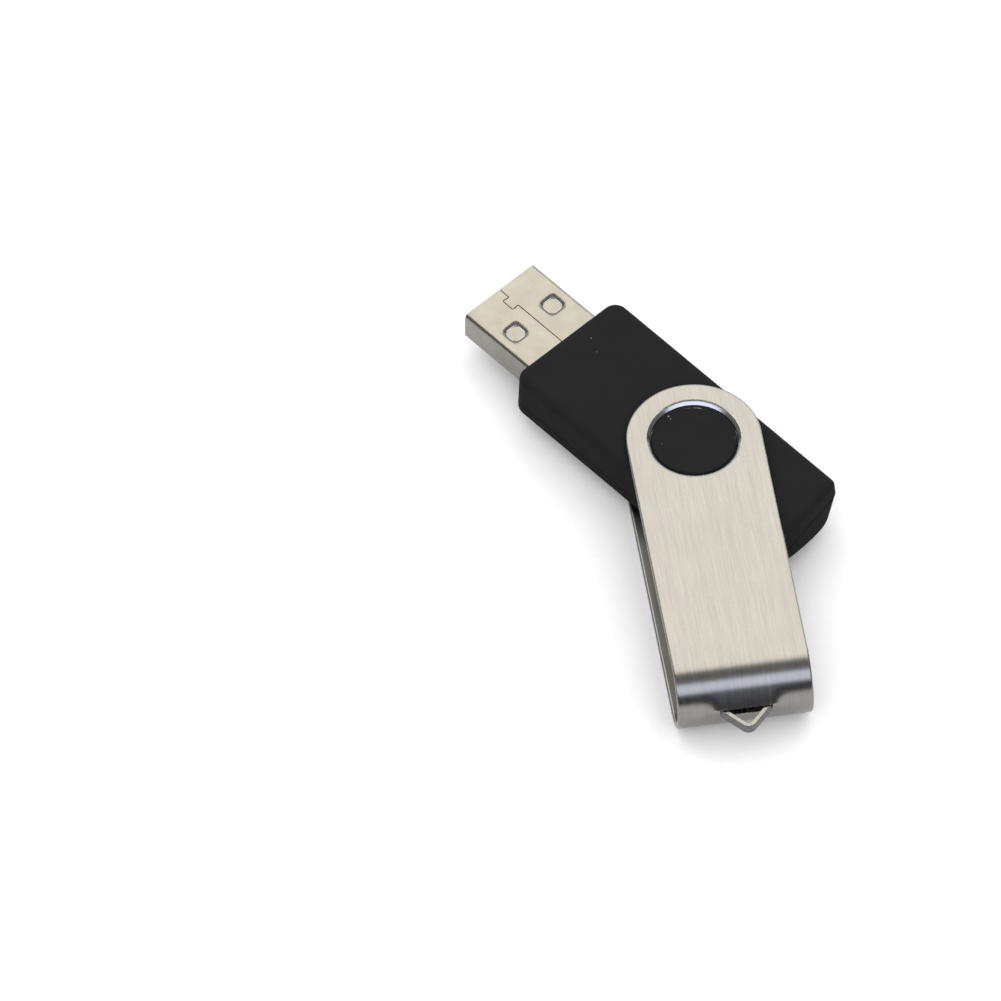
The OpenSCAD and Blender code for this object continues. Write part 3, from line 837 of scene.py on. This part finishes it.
def opening_bmesh():
    """The way through the front wall for the plug."""
    bm = bmesh.new()
    plan = rounded_rect(plug_half_w + OPENING_GAP, plug_half_h + OPENING_GAP, 0.5)
    loft(bm, [[(x, y, mid_z + z) for y, z in plan] for x in (-body_front - 1, -body_front + WALL + 1)])
    return bm


def build_shell(name, node, place):
    bm = cut(shell_bmesh(place is None), opening_bmesh())
    build(name, bm, "drive", [node], [looks["soft_touch_black"]], angle=35, place=place)


build_shell("body_shell_top", "upper_body_shell", None)
upside_down = Matrix.Translation((0, 0, cover_h)) @ Matrix.Rotation(math.pi, 4, "X")
build_shell("body_shell_bottom", "lower_body_shell", upside_down)


# ---------------------------------------------------------------- plug

PLUG_SHEET = 0.3
PLUG_R = 0.62
PLUG_EDGE_ROUND = 0.03
SIDE_TAB = 2.35  # length of the CAD shell's side tabs, which the body hides and which aren't drawn
SEAM_HALF_GAP = 0.048
TAB_START, TAB_END, TAB_DEPTH, TAB_FLARE = 1.6, 3.5, 1.0, 0.12

# Two squares are pressed into the top. Below them the bottom has two square windows.
DIMPLE_X, DIMPLE_Y = plug_front + 6.3, 3.2
DIMPLE_OUT, DIMPLE_SLOPE, DIMPLE_DEPTH = 1.6, 0.62, 0.37
DIMPLE_BACK_OUT, DIMPLE_BACK_SLOPE, DIMPLE_BACK_DEPTH = 1.1, 0.3, 0.25
DIMPLE_CURVE, DIMPLE_SQUARENESS = 1.5, 4.2
DIMPLE_SPAN, DIMPLE_CELLS = 1.85, 44
WINDOW_HALF = 0.95


def dimple(x, y, out, slope, depth):
    """Depth of the pressed squares at a place on the plug's top.

    out is how far from its middle a square's wall starts, and slope is the wall's width.
    """
    dx, dy = abs(x - DIMPLE_X), abs(abs(y) - DIMPLE_Y)
    r = (dx ** DIMPLE_SQUARENESS + dy ** DIMPLE_SQUARENESS) ** (1 / DIMPLE_SQUARENESS)
    t = min(max((out - r) / slope, 0.0), 1.0)
    return depth * t ** DIMPLE_CURVE


def plug_section():
    """[y, z, normal y, normal z, face] round the plug's outside, anticlockwise seen from the mouth."""
    half_w, half_h = plug_half_w, plug_half_h
    flat_y, flat_z = half_w - PLUG_R, half_h - PLUG_R
    fine = steps(-DIMPLE_SPAN, DIMPLE_SPAN, DIMPLE_CELLS)
    top = {round(side * DIMPLE_Y + d, 4) for side in (-1, 1) for d in fine}
    top |= {-flat_y, flat_y, 0.0, -0.7, 0.7}
    window = {round(side * DIMPLE_Y + d, 4) for side in (-1, 1) for d in (-WINDOW_HALF, WINDOW_HALF)}
    bottom = window | {-flat_y, flat_y, 0.0, -1.2, 1.2, -5.0, 5.0}

    def corner(cy, cz, a0):
        return [(cy + PLUG_R * math.cos(a), cz + PLUG_R * math.sin(a), math.cos(a), math.sin(a), "corner")
                for a in steps(a0, a0 - math.pi / 2, 8)[1:-1]]

    points = [(y, half_h, 0, 1, "top") for y in sorted(top)]
    points += corner(flat_y, half_h - PLUG_R, math.pi / 2)
    points += [(half_w, z, 1, 0, "side") for z in steps(flat_z, -half_h + PLUG_R, 4)]
    points += corner(flat_y, -half_h + PLUG_R, 0)
    points += [(y, -half_h, 0, -1, "bottom") for y in sorted(bottom, reverse=True)]
    points += corner(-flat_y, -half_h + PLUG_R, -math.pi / 2)
    points += [(-half_w, z, -1, 0, "side") for z in steps(-half_h + PLUG_R, flat_z, 4)]
    points += corner(-flat_y, flat_z, math.pi)
    return points


def plug_stations():
    """Where the plug's rings of points lie along x, closer together at the pressed squares."""
    squares = steps(-DIMPLE_SPAN, DIMPLE_SPAN, DIMPLE_CELLS) + [-WINDOW_HALF, WINDOW_HALF]
    ends = steps(plug_front, DIMPLE_X - 2.0, 6) + steps(DIMPLE_X + 2.0, plug_rear - SIDE_TAB, 8)
    return sorted({round(DIMPLE_X + d, 4) for d in squares} | {round(x, 4) for x in ends})


def seam_cutter():
    """A thin wall that follows the plug's seam and its interlocking tab."""
    x0, x1 = plug_front + TAB_START, plug_front + TAB_END
    tab = [(x0 + TAB_FLARE, 0), (x0, -TAB_DEPTH), (x1, -TAB_DEPTH), (x1 - TAB_FLARE, 0)]
    corners = [(plug_front - 1, 0), *tab, (plug_rear + 1, 0)]
    line = rounded_path(corners, [0.12, 0.22, 0.22, 0.12], 5)
    z0, z1 = plug_z1 - PLUG_SHEET - 0.2, plug_z1 + 0.5
    rings = []
    for i, p in enumerate(line):
        before, after = line[max(i - 1, 0)], line[min(i + 1, len(line) - 1)]
        d = (after - before).normalized()
        normal = Vector((-d.y, d.x))
        a, b = p + normal * SEAM_HALF_GAP, p - normal * SEAM_HALF_GAP
        rings.append([(a.x, a.y, z0), (b.x, b.y, z0), (b.x, b.y, z1), (a.x, a.y, z1)])
    bm = bmesh.new()
    loft(bm, rings)
    bmesh.ops.recalc_face_normals(bm, faces=bm.faces)
    return bm


def in_window(x, y):
    return abs(x - DIMPLE_X) < WINDOW_HALF and abs(abs(y) - DIMPLE_Y) < WINDOW_HALF


def plug_sheet():
    """The plug's sleeve as a sheet, with the pressed squares and the windows."""
    sheet = Sheet()
    section = plug_section()
    xs = plug_stations()
    ids = {}
    girth = 0.0
    last = section[0]
    for k, (y, z, ny, nz, face) in enumerate(section):
        girth += math.hypot(y - last[0], z - last[1])
        last = (y, z)
        for i, x in enumerate(xs):
            sink = back = 0.0
            if face == "top":
                sink = dimple(x, y, DIMPLE_OUT, DIMPLE_SLOPE, DIMPLE_DEPTH)
                back = dimple(x, y, DIMPLE_BACK_OUT, DIMPLE_BACK_SLOPE, DIMPLE_BACK_DEPTH)
            outer = (x, y, mid_z + z - sink)
            inner = (x, y - ny * PLUG_SHEET, mid_z + z - nz * PLUG_SHEET - back)
            ids[i, k] = sheet.point(outer, inner, (girth, x))
    n = len(section)
    for i in range(len(xs) - 1):
        for k in range(n):
            a, b = section[k], section[(k + 1) % n]
            on_bottom = a[4] == b[4] == "bottom"
            if not (on_bottom and in_window((xs[i] + xs[i + 1]) / 2, (a[0] + b[0]) / 2)):
                sheet.cell((ids[i, k], ids[i, (k + 1) % n], ids[i + 1, (k + 1) % n], ids[i + 1, k]))
    return sheet


def build_plug():
    bm = cut(plug_sheet().to_bmesh(0, {}), seam_cutter())
    bm.normal_update()
    weight = bm.edges.layers.float.get("bevel_weight_edge") or bm.edges.layers.float.new("bevel_weight_edge")
    sharp = math.radians(55)
    for e in bm.edges:
        e[weight] = 1.0 if len(e.link_faces) == 2 and e.calc_face_angle(0) > sharp else 0.0
    build("plug_sleeve", bm, "drive", ["plug_shell"], [looks["nickel_plate"]], angle=40,
          bevel=PLUG_EDGE_ROUND)


build_plug()


# ---------------------------------------------------------------- carried-over parts

# The others get their slot's material.
for row in record["subparts"]:
    node = frame["nodes"][row["node"]]
    if node.hide_render:
        continue
    node.data.materials.clear()
    node.data.materials.append(looks[row["material_slot"]])


# ---------------------------------------------------------------- floor, light and camera

# The camera's angle, distance and lens repeat the photograph's view and framing.
CAMERA_AZ, CAMERA_EL = math.radians(46.48), math.radians(52.79)
CAMERA_DISTANCE, CAMERA_LENS = 2.5, 717.7
TARGET = Vector((-0.01503, -0.01909, 0))
WHITE = (1.0, 1.0, 1.0)
FLOOR_REACH = 6.0
SKY_STRENGTH = 1.2
GLOSS_DISTANCE, FILL_DISTANCE, FILL_SIZE = 0.9, 0.86, 0.95  # the fill hangs in front and is a little smaller

toward = Vector((math.sin(CAMERA_AZ), -math.cos(CAMERA_AZ), 0))
across = Vector((math.cos(CAMERA_AZ), math.sin(CAMERA_AZ), 0))
up = Vector((0, 0, 1))


def aim(obj):
    """Points a lamp or the camera at the target."""
    obj.rotation_euler = (TARGET - obj.location).to_track_quat("-Z", "Y").to_euler()


def softbox(name, tilt, turn, distance, size, power, colour, glossy=True, diffuse=True):
    """An area light. tilt is its angle from straight up to the camera's side, turn its angle to the right."""
    data = bpy.data.lights.new(name, "AREA")
    data.shape = "RECTANGLE"
    data.size, data.size_y = size
    data.energy = power
    data.color = colour
    lamp = bpy.data.objects.new(name, data)
    scene.collection.objects.link(lamp)
    t, r = math.radians(tilt), math.radians(turn)
    way = toward * math.sin(t) * math.cos(r) + across * math.sin(r) + up * math.cos(t) * math.cos(r)
    lamp.location = TARGET + way * distance
    aim(lamp)
    lamp.visible_camera = False
    lamp.visible_glossy = glossy
    lamp.visible_diffuse = diffuse


def twin_softbox(name, tilt, width, height, gloss, fill, colour):
    """A softbox with separate brightness for reflections and for soft light."""
    softbox(name + "_gloss", tilt, 0, GLOSS_DISTANCE, (width, height), gloss, colour, diffuse=False)
    fill_size = (width * FILL_SIZE, height * FILL_SIZE)
    softbox(name + "_fill", tilt, 0, FILL_DISTANCE, fill_size, fill, WHITE, glossy=False)


def floor_material():
    g = Graph("studio_floor", Specular_IOR_Level=0.1)
    n = g.noise(g.object_place(), 900.0, 3.0)
    return g.finish(Base_Color=g.mix(g.ramp(n, 0.3, 0.7), (0.86, 0.86, 0.87), (0.88, 0.88, 0.89)),
                    Roughness=g.ramp(n, 0.3, 0.7, 0.75, 0.85), Normal=g.bump(n, 0.00002, 0.1))


def build_floor():
    mesh = bpy.data.meshes.new("studio_floor")
    corners = [(sx * FLOOR_REACH, sy * FLOOR_REACH, 0) for sx, sy in ((-1, -1), (1, -1), (1, 1), (-1, 1))]
    mesh.from_pydata(corners, [], [(0, 1, 2, 3)])
    mesh.materials.append(floor_material())
    floor = bpy.data.objects.new("studio_floor", mesh)
    scene.collection.objects.link(floor)


def light_scene():
    """Even light from all round, which shiny surfaces don't mirror, and softboxes."""
    world = bpy.data.worlds.new("studio")
    scene.world = world
    world.use_nodes = True
    sky = world.node_tree.nodes["Background"]
    sky.inputs["Color"].default_value = (*WHITE, 1.0)
    sky.inputs["Strength"].default_value = SKY_STRENGTH
    world.cycles_visibility.glossy = False
    twin_softbox("far_softbox", -32.5, 1.5, 0.93, 12.3, 2.2, (1.0, 0.975, 0.92))
    twin_softbox("near_softbox", 44, 2.1, 0.46, 8.4, 2.1, (0.76, 0.82, 1.0))
    softbox("ceiling_glow", 11, 0, 1.1, (2.6, 0.75), 1.5, (1.0, 0.97, 0.95), diffuse=False)
    for side in (-1, 1):
        softbox("side_glow", 0, 62 * side, 1.2, (1.6, 1.0), 1.1, WHITE, diffuse=False)
    softbox("back_wall_glow", -76, 0, 1.2, (2.6, 0.62), 6.5, (0.93, 0.96, 1.0), diffuse=False)


def place_camera():
    """A long lens from the photograph's viewing angle."""
    camera = bpy.data.objects.new("camera", bpy.data.cameras.new("camera"))
    scene.collection.objects.link(camera)
    camera.location = TARGET + CAMERA_DISTANCE * (toward * math.cos(CAMERA_EL) + up * math.sin(CAMERA_EL))
    aim(camera)
    camera.data.lens = CAMERA_LENS
    camera.data.sensor_width = 36
    camera.data.clip_start = 0.1
    camera.data.clip_end = 20
    scene.camera = camera


build_floor()
light_scene()
place_camera()
